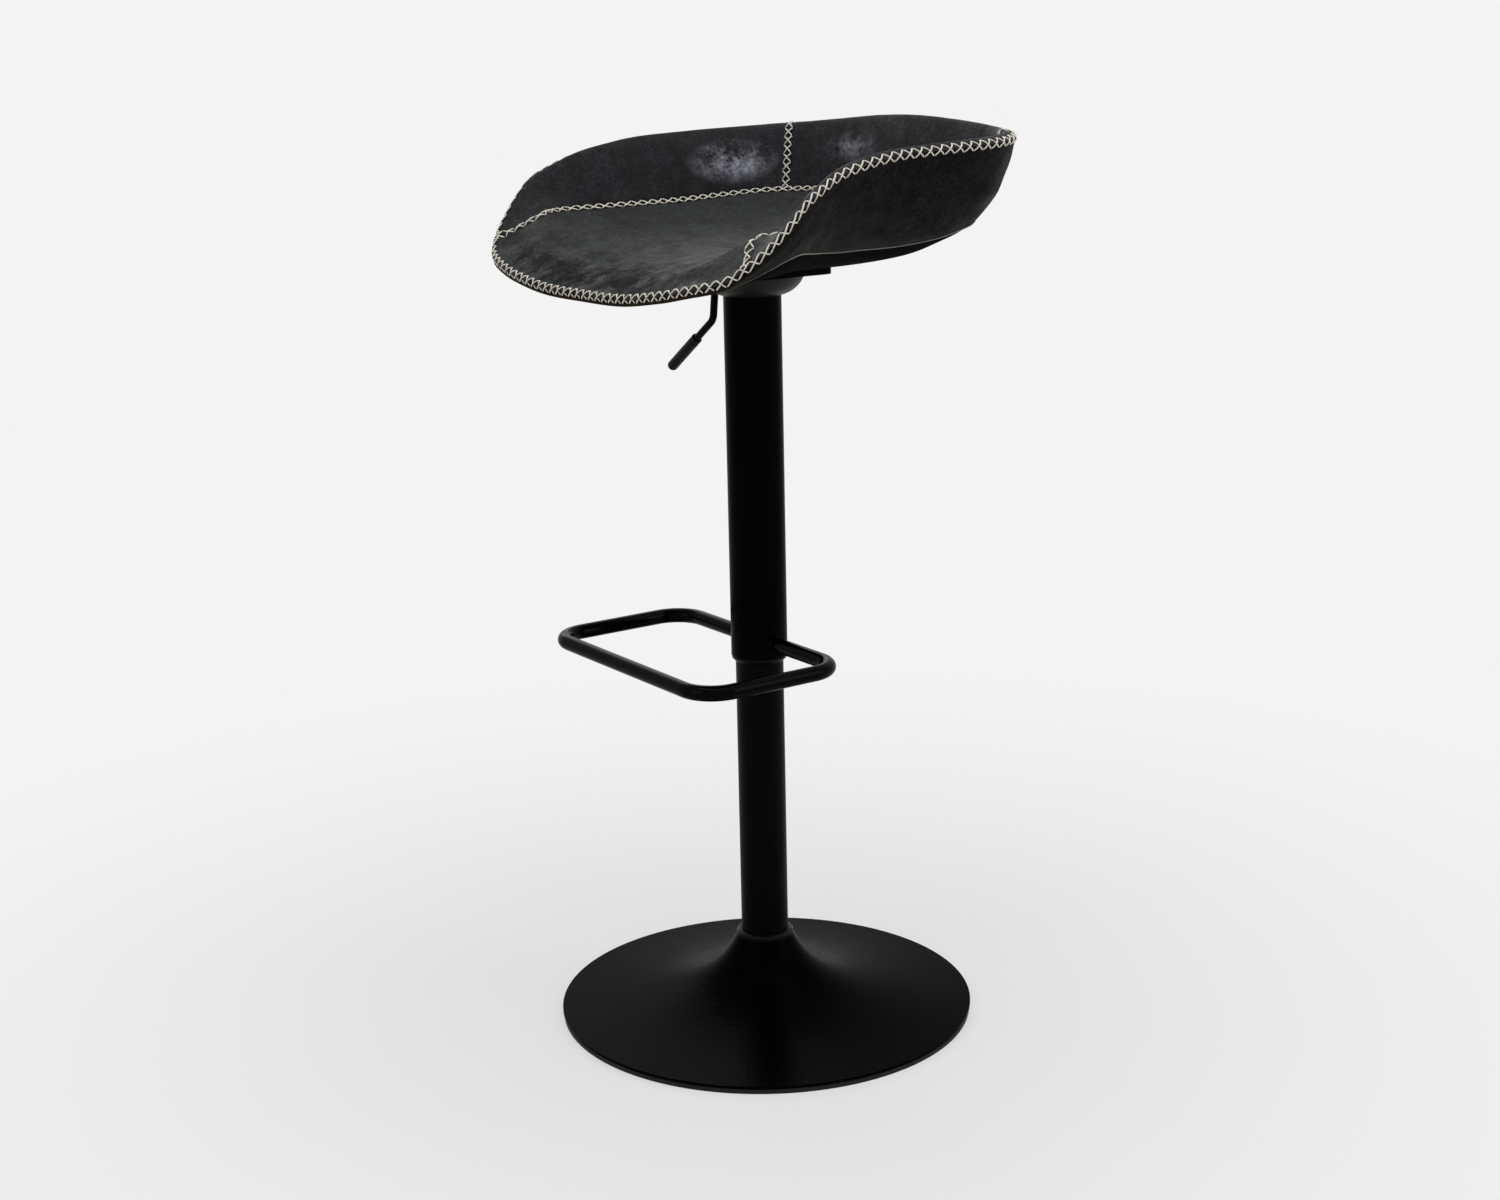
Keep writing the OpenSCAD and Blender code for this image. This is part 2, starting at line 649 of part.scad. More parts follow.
// The rod's own plane, from the pivot out to the sitter's right
module along_lever() {
    translate([0, 0, lever_z]) rotate([0, 0, 180]) rotate([90, 0, 0]) children();
}

module lever_rod() {
    r = lever_d / 2;
    tip = r / 2;
    color("#151517") difference() {
        along_lever() translate([-tip, 0, 0]) bent_run(lever_run + tip, lever_bend_a, lever_turn_a, r)
            rotate([180, 0, 0]) bent_run(lever_drop, lever_bend_b, lever_turn_b, r)
            rotate([0, 90, 0]) cylinder(r = r, h = lever_bare + grip_len - 2 * r);
        translate([-lever_arm, 0, lever_z]) rotate([90, 0, 0])
            cylinder(r = lever_pin_d / 2 + run_gap, h = 4 * lever_d, center = true);
    }
}

module lever_grip() {
    r = grip_d / 2;
    core = lever_d / 2;
    nose = r * 0.8;
    neck = 0.08 * grip_len;
    color("#101011") along_lever() translate([-core / 2, 0, 0])
        bent_empty(lever_run + core / 2, lever_bend_a, lever_turn_a) rotate([180, 0, 0])
        bent_empty(lever_drop, lever_bend_b, lever_turn_b)
        rotate([0, 90, 0]) rotate_extrude() polygon(concat(
            [[core, lever_bare], [r - neck / 4, lever_bare], [r, lever_bare + neck / 4],
            [r, lever_bare + neck], [r - neck / 8, lever_bare + neck * 1.1],
            [r - neck / 8, lever_bare + neck * 1.4], [r, lever_bare + neck * 1.6]],
            [for (a = [0:15:90]) [r * cos(a), lever_bare + grip_len - nose + nose * sin(a)]],
            [[0, lever_bare + grip_len - core * 2], [core, lever_bare + grip_len - core * 2]]));
}
module bent_empty(len, bend, angle) {
    translate([len, -bend, 0]) rotate([0, 0, -angle]) translate([0, bend, 0]) children();
}

module seat_board() {
    color("#b08f63") difference() {
        seat_layer(foam_share, board_share, function(i, j) true);
        at_seat_bolts() rod(nut_r + run_gap, sheet_top_z - cut, dish_z);
    }
}

module foam_pad() {
    color("#d8d2bd") seat_layer(leather_share, foam_share, function(i, j) true);
}

module seat_panel() {
    color("#1f2223") seat_layer(0, leather_share,
        function(i, j) i < seam_row || j < corner_step || j >= around - corner_step);
}

module left_wall_panel() {
    color("#212127") seat_layer(0, leather_share,
        function(i, j) i >= seam_row && j >= corner_step && j < seam_step);
}

module back_wall_panel() {
    color("#212127") seat_layer(0, leather_share,
        function(i, j) i >= seam_row && j >= seam_step && j < around - seam_step);
}

module right_wall_panel() {
    color("#212127") seat_layer(0, leather_share,
        function(i, j) i >= seam_row && j >= around - seam_step && j < around - corner_step);
}

module outer_cover() {
    color("#1d1f20") seat_layer(board_share, 1, function(i, j) i >= hem_row);
}

module underside_cover() {
    color("#0d0d0e") difference() {
        seat_layer(board_share, 1, function(i, j) i < hem_row);
        translate([0, 0, seat_low_z - cut]) linear_extrude(seat_t)
            rounded_square(plate_w + 2 * loose_gap, plate_corner);
    }
}

base_ring();
base_cover();
base_weight();
base_bolts();
collar_ring();
lower_column();
column_flange();
guide_bush();
bearing_seat();
bearing_cage();
bearing_balls();
bearing_top();
stop_bumper();
rod_clip();
piston_rod();
piston();
gas_cylinder();
cylinder_gland();
release_pin();
sleeve();
sleeve_cap();
sleeve_bush();
footrest();
footrest_welds();
bell_cover();
taper_socket();
seat_plate();
seat_bolts();
seat_nuts();
lever_pin();
lever_rod();
lever_grip();
seat_board();
foam_pad();
seat_panel();
left_wall_panel();
back_wall_panel();
right_wall_panel();
outer_cover();
underside_cover();
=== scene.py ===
import json
import math
import bpy
import numpy as np
from mathutils import Matrix, Vector, kdtree, noise


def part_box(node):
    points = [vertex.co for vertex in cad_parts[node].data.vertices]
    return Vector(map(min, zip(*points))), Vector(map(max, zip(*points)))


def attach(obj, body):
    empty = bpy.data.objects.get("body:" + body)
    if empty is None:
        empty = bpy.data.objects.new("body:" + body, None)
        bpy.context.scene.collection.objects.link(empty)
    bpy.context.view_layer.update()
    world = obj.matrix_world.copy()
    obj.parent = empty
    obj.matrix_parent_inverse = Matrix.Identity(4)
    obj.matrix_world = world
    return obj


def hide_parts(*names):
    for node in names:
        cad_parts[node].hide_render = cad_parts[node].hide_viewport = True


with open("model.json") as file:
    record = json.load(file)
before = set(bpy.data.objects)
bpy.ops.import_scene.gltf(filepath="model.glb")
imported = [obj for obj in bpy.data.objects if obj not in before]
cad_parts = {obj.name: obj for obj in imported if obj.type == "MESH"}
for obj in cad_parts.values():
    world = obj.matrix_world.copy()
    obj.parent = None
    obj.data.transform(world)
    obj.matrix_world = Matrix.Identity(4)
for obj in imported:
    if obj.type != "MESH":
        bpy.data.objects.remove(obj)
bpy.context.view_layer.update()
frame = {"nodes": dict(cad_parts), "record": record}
nodes = frame["nodes"]

# Driving sizes of the seat, in metres, the same as the solids have
SEAT_W = 0.474
SEAT_FRONT = 0.2025
SEAT_BACK = 0.210
SEAT_SQUARE = 4.4
SEAT_T = 0.024
LIP_RISE = -0.0075
RIM_RISE = 0.1435
CREST_RISE = 0.0035
SEAM_RISE = 0.0655
SEAM_INSET = 0.040
RIM_EDGE_H = 0.011
UNDER_SHARE = 0.08
SEAT_GAP = 0.0004

# Angle from the front, and the share there
RIM_SHARES = [(0, 0), (20, 0.008), (34, 0.057), (43, 0.113), (50, 0.168), (54, 0.247), (57, 0.325),
              (60, 0.415), (63, 0.52), (66, 0.625), (69.5, 0.698), (74, 0.766), (80, 0.813),
              (90, 0.86), (105, 0.885), (122, 0.905), (135, 0.93), (180, 1)]
SEAM_SHARES = [(0, 0), (20, 0.04), (35, 0.18), (45, 0.38), (54, 0.68), (58, 0.775), (63, 0.785),
               (69, 0.79), (80, 0.81), (100, 0.83), (115, 0.87), (130, 0.935), (145, 0.97), (180, 1)]
INSET_SHARES = [(0, 0.85), (40, 1), (54, 1.25), (58, 1.28), (62, 1.23), (66, 1.14), (70, 1.05),
                (76, 1), (100, 1), (115, 1.1), (130, 1.2), (140, 1.2), (155, 1.05), (180, 1)]
WAIST_SHARES = [(0, 1.16), (62, 1.11), (75, 1.026), (95, 0.989), (112, 0.983), (125, 0.986), (180, 0.986)]
PAN_SHARES = [0, 0.3, 0.55, 0.78, 0.92, 1]
BOARD_IN = 0.6
BOARD_OUT = 0.8
WALL_SHARES = [(1, 0, 0), (0.8, 0.27, 0), (0.5, 0.72, 0), (0.25, 1, 0), (0.07, 1, 0.18), (0, 1, 0.55)]
# Angle from the front, and the row of the outer surface where its leather ends
HEM_ROWS = [(0, 7.2), (42, 7.1), (50, 6.85), (56, 6.42), (61, 5.98), (66, 5.5), (72, 5.05),
            (80, 4.7), (92, 4.5), (105, 4.45), (116, 4.7), (124, 5.05), (135, 5.2), (180, 5.2)]
OUTER_SHARES = [(0, 0, 0), (0.31, 0, 0), (0.45, 0, 0.03), (0.61, 0, 0.1), (0.72, 0, 0.195), (0.83, 0, 0.325),
                (1, 0.49, 0.57), (1, 0.25, 0.745), (1, 0.1, 0.875), (1, 0.04, 0.96), (1, 0, 1)]
WALL_SEAM_DEG = 135.0

seat_low_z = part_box("seat_plate")[1].z + SEAT_GAP - UNDER_SHARE * SEAT_T
dish_z = seat_low_z + SEAT_T


def curve(table, x):
    """Smooth curve through a table of angle and share, level at both ends."""
    t = np.array(table, float)
    slopes = np.zeros(len(t))
    slopes[1:-1] = (t[2:, 1] - t[:-2, 1]) / (t[2:, 0] - t[:-2, 0])
    x = np.asarray(x, float)
    i = np.clip(np.searchsorted(t[:, 0], x, side="left") - 1, 0, len(t) - 2)
    w = t[i + 1, 0] - t[i, 0]
    u = (x - t[i, 0]) / w
    return (t[i, 1] * (2 * u**3 - 3 * u**2 + 1) + slopes[i] * w * (u**3 - 2 * u**2 + u)
            + t[i + 1, 1] * (3 * u**2 - 2 * u**3) + slopes[i + 1] * w * (u**3 - u**2))


def stations(table, x):
    """Smooth line through the rows of a table, at row number x."""
    t = np.array(table, float)
    x = np.clip(np.asarray(x, float), 0, len(t) - 1)
    i = np.clip(np.floor(x).astype(int), 0, len(t) - 2)
    u = (x - i)[..., None]
    p0, p1, p2, p3 = t[np.maximum(i - 1, 0)], t[i], t[i + 1], t[np.minimum(i + 2, len(t) - 1)]
    return 0.5 * (2 * p1 + (p2 - p0) * u + (2 * p0 - 5 * p1 + 4 * p2 - p3) * u**2
                  + (3 * p1 - p0 - 3 * p2 + p3) * u**3)


def fold(deg):
    """Angle from the front on either side, 0 to 180."""
    return np.abs((np.asarray(deg, float) + 180) % 360 - 180)


def lip_z():
    return seat_low_z + LIP_RISE


def rim_z(deg):
    return lip_z() + (RIM_RISE - LIP_RISE) * curve(RIM_SHARES, fold(deg))


def seam_z(deg):
    return seat_low_z + CREST_RISE + (SEAM_RISE - CREST_RISE) * curve(SEAM_SHARES, fold(deg))


def seam_in(deg):
    return SEAM_INSET * curve(INSET_SHARES, fold(deg))


def rim_r(deg):
    """Distance of the rim from the middle, a squared-off ring."""
    a = np.radians(deg)
    side = SEAT_W / 2 * curve(WAIST_SHARES, fold(deg))
    deep = np.where(np.cos(a) > 0, SEAT_FRONT, SEAT_BACK)
    across, along = np.abs(np.sin(a) / side), np.abs(np.cos(a) / deep)
    return (across**SEAT_SQUARE + along**SEAT_SQUARE)**(-1 / SEAT_SQUARE)


def place(deg, r, z):
    """Point at an angle from the front, a distance from the middle and a height."""
    a = np.radians(deg)
    a, r, z = np.broadcast_arrays(a, r, z)
    return np.stack([r * np.sin(a), -r * np.cos(a), z], -1)


def pan(deg, s):
    """Upper surface from the middle of the seat, s 0, to the seam at the wall's foot, s 1."""
    return place(deg, (rim_r(deg) - seam_in(deg)) * s, dish_z + (seam_z(deg) - dish_z) * s**2)


def wall(deg, t):
    """Inner surface of the wall and over the rim, from the seam, t 0, to the leather's edge, t 1."""
    w = stations(WALL_SHARES, np.asarray(t) * (len(WALL_SHARES) - 1))
    return place(deg, rim_r(deg) - seam_in(deg) * w[..., 0],
                 seam_z(deg) + (rim_z(deg) - seam_z(deg)) * w[..., 1] - RIM_EDGE_H * w[..., 2])


def outer(deg, row):
    """Outer surface, from the middle of the underside, row 0, to the rim, row 10."""
    o = stations(OUTER_SHARES, row)
    rise = rim_z(deg) - RIM_EDGE_H - seat_low_z
    return place(deg, rim_r(deg) * o[..., 0] - SEAM_INSET * o[..., 1], seat_low_z + rise * o[..., 2])


def normals(points):
    """Unit normals of a grid of points."""
    du = np.gradient(points, axis=0)
    dv = np.gradient(points, axis=1)
    n = np.cross(du, dv)
    return n / np.maximum(np.linalg.norm(n, axis=-1, keepdims=True), 1e-12)


def mesh_object(name, vertices, faces):
    """A smooth-shaded mesh as an object of the scene."""
    mesh = bpy.data.meshes.new(name)
    mesh.from_pydata([tuple(v) for v in vertices], [], faces)
    mesh.update()
    mesh.shade_smooth()
    piece = bpy.data.objects.new(name, mesh)
    bpy.context.scene.collection.objects.link(piece)
    return piece


def closed_sheet(name, top, bottom):
    """A closed skin between two grids of points: rows run outwards, columns run round."""
    rows, columns = top.shape[:2]
    vertices = np.concatenate([top.reshape(-1, 3), bottom.reshape(-1, 3)])
    half = rows * columns

    def at(i, j, k):
        return k * half + i * columns + j % columns

    faces = []
    last = rows - 1
    for i in range(last):
        for j in range(columns):
            faces.append((at(i, j, 0), at(i + 1, j, 0), at(i + 1, j + 1, 0), at(i, j + 1, 0)))
            faces.append((at(i, j, 1), at(i, j + 1, 1), at(i + 1, j + 1, 1), at(i + 1, j, 1)))
    for j in range(columns):
        faces.append((at(0, j, 0), at(0, j + 1, 0), at(0, j + 1, 1), at(0, j, 1)))
        faces.append((at(last, j, 0), at(last, j, 1), at(last, j + 1, 1), at(last, j + 1, 0)))
    return mesh_object(name, vertices, faces)


def wobble(points, scale, seed):
    """Smooth noise from -1 to 1 at each point of a grid."""
    flat = points.reshape(-1, 3) * scale + seed
    return np.array([noise.noise(Vector(p)) for p in flat]).reshape(points.shape[:2])


def groove(distance, depth, width):
    return -depth * np.exp(-(distance / width)**2)


# Inner leather: one grid from the middle of the pan up the wall and over the rim, cut at the seams
COLUMNS = 720
PAN_ROWS = 60
WALL_ROWS = 44
LEATHER = 0.0018
SEAM_DEPTH = 0.0016
SEAM_WIDTH = 0.0045
LIP_END_DEG = 56.0
SEAM_OPENS_DEG = 53.6
SEAM_FULL_DEG = 56.0
# Leather raised under the stitches, shell's tuck, and the brown edge strip
UNDER_STITCHES = 0.0036
SHELL_TUCK = 0.0034
EDGE_THICK = 0.0022
EDGE_BOW = 0.0007
EDGE_OUT = 0.0011
EDGE_SUNK = 0.0010
# Height of slack and creases, and how far from the seams, the edge and the middle they start
SLACK = 0.0007
CREASE = 0.00018
SEAM_CALM = 0.01
EDGE_CALM = 0.012
MIDDLE_CALM = 0.07
# Underside cloth and pale cut edge, with their first row on the outer surface or down from the hem
UNDER_FROM_ROW = 0.8
CLOTH_THICK = 0.0012
CLOTH_UP = 0.0016
CLOTH_TUCK = 0.0012
HEM_ROWS_DOWN = 0.012
HEM_ROWS_WIDE = 0.05
HEM_HALF_THICK = 0.0003
turn_deg = np.arange(COLUMNS) * 360 / COLUMNS


def leather_bumps(points, seed):
    """Slack and creases of worn leather over foam."""
    soft = wobble(points, 14, seed) * SLACK
    fine = wobble(points, 60, seed + 9) * CREASE
    return soft + fine


def seam_place(deg):
    """Place of the long seam on the wall's own line: at the rim where it opens, at the foot further on."""
    u = np.clip((fold(deg) - SEAM_OPENS_DEG) / (SEAM_FULL_DEG - SEAM_OPENS_DEG), 0, 1)
    return (1 - u)**1.6 * 0.97


def seam_line(start, stop, steps=1600):
    degs = np.linspace(start, stop, steps)
    return wall(degs, seam_place(degs))


def upright_line(edge, steps=200):
    return wall(np.full(steps, edge), np.linspace(0, 1, steps))


def distance_to(points, lines):
    tree = kdtree.KDTree(sum(len(line) for line in lines))
    k = 0
    for line in lines:
        for p in line:
            tree.insert(Vector(p), k)
            k += 1
    tree.balance()
    return np.array([tree.find(Vector(p))[2] for p in points.reshape(-1, 3)]).reshape(points.shape[:2])


def masked_sheet(name, top, bottom, mask):
    """A closed skin between two grids over the cells that the mask keeps. Columns run round."""
    rows, columns = top.shape[:2]
    used, vertices, faces = {}, [], []

    def at(i, j, k):
        key = (i, j % columns, k)
        if key not in used:
            used[key] = len(vertices)
            vertices.append((bottom if k else top)[i, j % columns])
        return used[key]

    def kept(i, j):
        return 0 <= i < rows - 1 and mask[i, j % columns]

    for i, j in zip(*np.nonzero(mask)):
        i, j = int(i), int(j)
        faces.append((at(i, j, 0), at(i + 1, j, 0), at(i + 1, j + 1, 0), at(i, j + 1, 0)))
        faces.append((at(i, j, 1), at(i, j + 1, 1), at(i + 1, j + 1, 1), at(i + 1, j, 1)))
        if not kept(i - 1, j):
            faces.append((at(i, j, 0), at(i, j + 1, 0), at(i, j + 1, 1), at(i, j, 1)))
        if not kept(i + 1, j):
            faces.append((at(i + 1, j, 0), at(i + 1, j, 1), at(i + 1, j + 1, 1), at(i + 1, j + 1, 0)))
        if not kept(i, j - 1):
            faces.append((at(i, j, 0), at(i, j, 1), at(i + 1, j, 1), at(i + 1, j, 0)))
        if not kept(i, j + 1):
            faces.append((at(i, j + 1, 0), at(i + 1, j + 1, 0), at(i + 1, j + 1, 1), at(i, j + 1, 1)))
    return mesh_object(name, vertices, faces)


def make_inner():
    """The seat panel and the three wall panels."""
    s = np.linspace(0, 1, PAN_ROWS)[:, None]**0.8 * np.ones((1, COLUMNS))
    s[0] = 0.003
    pan_deg = np.ones((PAN_ROWS, 1)) * turn_deg[None, :]
    t = np.linspace(0, 1, WALL_ROWS + 1)[1:, None] * np.ones((1, COLUMNS))
    wall_deg = np.ones((WALL_ROWS, 1)) * turn_deg[None, :]
    points = np.concatenate([pan(pan_deg, s), wall(wall_deg, t)])
    wrapped = np.concatenate([points[:, -1:], points, points[:, :1]], axis=1)
    n = normals(wrapped)[:, 1:-1]
    deg = np.ones((len(points), 1)) * turn_deg[None, :]
    inward = place(deg, -1.0, 0.0) + np.array([0, 0, 1.2])
    n = np.where((n * inward).sum(-1, keepdims=True) < 0, -n, n)
    lines = [seam_line(SEAM_OPENS_DEG, 360 - SEAM_OPENS_DEG), upright_line(WALL_SEAM_DEG),
             upright_line(360 - WALL_SEAM_DEG)]
    away = distance_to(points, lines)
    edge = np.linalg.norm(points - points[-1:], axis=-1)
    lift = groove(away, SEAM_DEPTH, SEAM_WIDTH) * np.clip(edge / SEAM_CALM, 0, 1)
    calm = np.clip(np.linalg.norm(points[..., :2], axis=-1) / MIDDLE_CALM, 0, 1)
    off_seam, off_edge = np.clip(away / SEAM_CALM, 0, 1), np.clip(edge / EDGE_CALM, 0, 1)
    lift = lift + leather_bumps(points, 3) * off_seam * off_edge * calm
    top = points + n * lift[..., None]
    bottom = top - n * LEATHER
    row = np.arange(len(points) - 1)[:, None] - (PAN_ROWS - 1)
    cell_deg = fold(turn_deg + 180 / COLUMNS)[None, :]
    above = row + 0.5 > seam_place(cell_deg) * WALL_ROWS
    is_wall = above & (row >= 0) & (cell_deg > SEAM_OPENS_DEG)
    is_back = is_wall & (cell_deg > WALL_SEAM_DEG)
    is_left = is_wall & ~is_back & (turn_deg[None, :] < 180)
    is_right = is_wall & ~is_back & ~(turn_deg[None, :] < 180)
    return (masked_sheet("seat_leather", top, bottom, ~is_wall),
            masked_sheet("left_wall_leather", top, bottom, is_left),
            masked_sheet("back_wall_leather", top, bottom, is_back),
            masked_sheet("right_wall_leather", top, bottom, is_right))


def lip_fade(deg):
    """1 along the front lip, 0 round the sides and the back."""
    return np.clip((LIP_END_DEG - fold(deg)) / 8, 0, 1)


def make_outer():
    """Outer leather from the hem up to the rim."""
    rows = 56
    deg = np.ones((rows, 1)) * turn_deg[None, :]
    up = np.linspace(0, 1, rows)[:, None]
    hem = curve(HEM_ROWS, fold(turn_deg))[None, :]
    points = outer(deg, hem + (10 - hem) * up)
    points = points + place(0.0, 0.0, UNDER_STITCHES * up**6 * (1 - lip_fade(deg)))
    n = normals(points)
    outward = place(deg, 1.0, -0.6)
    n = np.where((n * outward).sum(-1, keepdims=True) < 0, -n, n)
    points = points + n * (leather_bumps(points, 31) * 0.7)[..., None]
    return closed_sheet("outer_leather", points - n * LEATHER, points)


def make_board():
    """Plywood shell between the foam and the outer leather."""
    rows = 50
    row = np.linspace(0.02, 9.2, rows)[:, None] * np.ones((1, COLUMNS))
    deg = np.ones((rows, 1)) * turn_deg[None, :]
    over_pan = pan(deg, np.interp(row, np.arange(6), PAN_SHARES))
    inside = np.where((row < 5)[..., None], over_pan, wall(deg, (row - 5) / 5))
    outside = outer(deg, row)
    tuck = place(deg, -SHELL_TUCK * np.clip((row - 7) / 2, 0, 1), 0.0)
    return closed_sheet("seat_shell", inside * (1 - BOARD_IN) + outside * BOARD_IN + tuck,
                        inside * (1 - BOARD_OUT) + outside * BOARD_OUT + tuck)


def make_edge():
    """Brown raw edge: bare below the stitches of the front lip, under the leather round the sides."""
    rows = 9
    deg = np.ones((rows, 1)) * turn_deg[None, :]
    down = np.linspace(0.5, 1.06, rows)[:, None]
    bow = EDGE_BOW * np.sin(np.pi * (down - 0.5) / 0.56)
    out = (bow + EDGE_OUT) * lip_fade(deg) - EDGE_SUNK
    face = place(deg, rim_r(deg) + out, rim_z(deg) - RIM_EDGE_H * down)
    return closed_sheet("raw_edge", face, face - place(deg, EDGE_THICK, 0.0))


def make_underside():
    """Cloth under the shell, tucked in behind the hem."""
    rows = 40
    deg = np.ones((rows, 1)) * turn_deg[None, :]
    across = np.linspace(0, 1, rows)[:, None]
    hem = curve(HEM_ROWS, fold(turn_deg))[None, :]
    points = outer(deg, UNDER_FROM_ROW + (hem + 0.12 - UNDER_FROM_ROW) * across)
    lift = np.array([0, 0, CLOTH_UP]) + place(deg, -CLOTH_TUCK, 0.0) * across[..., None]
    return closed_sheet("underside_cloth", points + lift + np.array([0, 0, CLOTH_THICK]), points + lift)


def make_hem():
    """Pale cut edge of the outer leather, a narrow strip all the way round."""
    rows = 5
    deg = np.ones((rows, 1)) * turn_deg[None, :]
    hem = curve(HEM_ROWS, fold(turn_deg))[None, :]
    strip = outer(deg, hem - HEM_ROWS_DOWN + HEM_ROWS_WIDE * np.linspace(0, 1, rows)[:, None])
    out = place(deg, HEM_HALF_THICK, -HEM_HALF_THICK)
    return closed_sheet("hem_edge", strip - out, strip + out)


def tube(path, radius, sides=6):
    """Vertices and faces of a closed thread along a path, thin at both ends."""
    path = np.array(path, float)
    along = np.gradient(path, axis=0)
    along /= np.linalg.norm(along, axis=1, keepdims=True)
    side = np.cross(along, np.array([0.3, 0.2, 0.93]))
    side /= np.linalg.norm(side, axis=1, keepdims=True)
    up = np.cross(along, side)
    a = np.arange(sides) * 2 * math.pi / sides
    taper = np.ones(len(path))
    taper[0] = taper[-1] = 0.8
    ring = (path[:, None] + radius * taper[:, None, None]
            * (np.cos(a)[None, :, None] * side[:, None] + np.sin(a)[None, :, None] * up[:, None]))
    vertices = ring.reshape(-1, 3)
    faces = []
    for i in range(len(path) - 1):
        for j in range(sides):
            k = (j + 1) % sides
            faces.append((i * sides + j, i * sides + k, (i + 1) * sides + k, (i + 1) * sides + j))
    faces.append(tuple(range(sides))[::-1])
    faces.append(tuple((len(path) - 1) * sides + j for j in range(sides)))
    return vertices, faces


def cross_stitches(name, count, over):
    """A row of crossed threads. over maps a place along the row, and across it, to a point."""
    all_vertices, all_faces = [], []
    steps = 7
    total = 0
    for k in range(count):
        for way in (0, 1):
            path = []
            for i in range(steps + 1):
                u = i / steps
                down = u if way else 1 - u
                arch = math.sin(math.pi * u)
                lift = arch**0.6 * STITCH_RISE * (1.0 if way else 1.7) - STITCH_DIP * (1 - arch)
                path.append(over(k + 0.04 + 0.92 * u, down, lift))
            vertices, faces = tube(path, THREAD_R)
            all_vertices.append(vertices)
            all_faces += [tuple(x + total for x in face) for face in faces]
            total += len(vertices)
    return mesh_object(name, np.concatenate(all_vertices), all_faces)


# Equal steps of length around the rim
fine_deg = np.linspace(0, 360, 7201)
rim_line = place(fine_deg, rim_r(fine_deg), rim_z(fine_deg))
rim_length = np.concatenate([[0], np.cumsum(np.linalg.norm(np.diff(rim_line, axis=0), axis=1))])
STITCH_PITCH = 0.0125
UPRIGHT_PITCH = 0.0098
# Stitches of the long seam over the rolled corners: how close on each side, and how much wider
LEFT_CLOSE_SHARE = 0.66
RIGHT_CLOSE_SHARE = 1
CORNER_WIDER = 0.3
# Thread, how high it rises and how far its ends go into the leather, and half widths of the seams
THREAD_R = 0.00078
STITCH_RISE = 0.0009
STITCH_DIP = 0.0006
SEAM_HALF = 0.0038
UPRIGHT_HALF = 0.0042
# The rim's stitches start this far in, and the long seam's arms are aimed this far along the wall
RIM_STITCH_IN = 0.0026
SEAM_REACH = 0.09
rim_count = int(rim_length[-1] / STITCH_PITCH)


def rim_over(k, down, lift):
    """Maps a place along the rim, and across its edge, to a point on the leather."""
    deg = float(np.interp((k % rim_count) / rim_count * rim_length[-1], rim_length, fine_deg))
    r, z = float(rim_r(deg)), float(rim_z(deg))
    height = RIM_EDGE_H * (0.02 + 0.82 * down)
    edge = -RIM_STITCH_IN * (1 - down)**3 + 0.0002
    return place(deg, r + edge + lift, z - height + lift * 0.5 * (1 - down))


def seam_over(start, stop, half, close_share):
    """Maps a place along the long seam, and across it, to a point on the leather."""
    degs = np.linspace(start, stop, 2001)
    line = wall(degs, seam_place(degs))
    close = np.where(fold(degs[1:]) < SEAM_FULL_DEG + 1, close_share, 1)
    length = np.concatenate([[0], np.cumsum(np.linalg.norm(np.diff(line, axis=0), axis=1) * close)])
    count = int(length[-1] / STITCH_PITCH)

    def over(k, down, lift):
        deg = float(np.interp(k / count * length[-1], length, degs))
        here = seam_place(deg)
        centre = wall(deg, here)
        climbs = here > SEAM_REACH
        above = wall(deg, min(here + SEAM_REACH, 1))
        below = wall(deg, here - SEAM_REACH) if climbs else pan(deg, 0.975)
        up_dir = (above - centre) / np.linalg.norm(above - centre)
        in_dir = (below - centre) / np.linalg.norm(below - centre)
        ahead = wall(deg + 0.5, seam_place(deg + 0.5)) - centre
        ahead = ahead / np.linalg.norm(ahead)
        across = np.cross(ahead, np.cross(up_dir, ahead))
        across = across / np.linalg.norm(across)
        face = np.cross(across, ahead)
        face = face / np.linalg.norm(face)
        if face @ (place(deg, -1.0, 0.0) + np.array([0, 0, 1.2])) < 0:
            face = -face
        inner = -across if climbs else in_dir
        wide = half * (1 + CORNER_WIDER * min(3 * here, 1))
        arm = across * wide * (1 - 2 * down) if down < 0.5 else inner * wide * (2 * down - 1)
        return centre + arm + face * (lift + 0.0002)
    return over, count


def upright_over(edge, half):
    """Maps a place along an upright seam, and across it, to a point on the leather."""
    ts = np.linspace(0.03, 0.93, 400)
    line = wall(np.full(400, edge), ts)
    length = np.concatenate([[0], np.cumsum(np.linalg.norm(np.diff(line, axis=0), axis=1))])
    count = int(length[-1] / UPRIGHT_PITCH)

    def over(k, down, lift):
        t = float(np.interp(k / count * length[-1], length, ts))
        here = wall(np.array([edge]), np.array([t]))[0]
        ahead = wall(np.array([edge]), np.array([min(t + 0.01, 1)]))[0]
        r = math.hypot(here[0], here[1])
        across = np.array([math.cos(math.radians(edge)), math.sin(math.radians(edge)), 0])
        n = np.cross(ahead - here, across)
        n = n / np.linalg.norm(n)
        if n @ place(edge, -1.0, 0.4) < 0:
            n = -n
        shift = (down - 0.5) * 2 * half
        there = wall(np.array([edge + math.degrees(shift / r)]), np.array([t]))[0]
        return there + n * (lift + 0.0001)
    return over, count


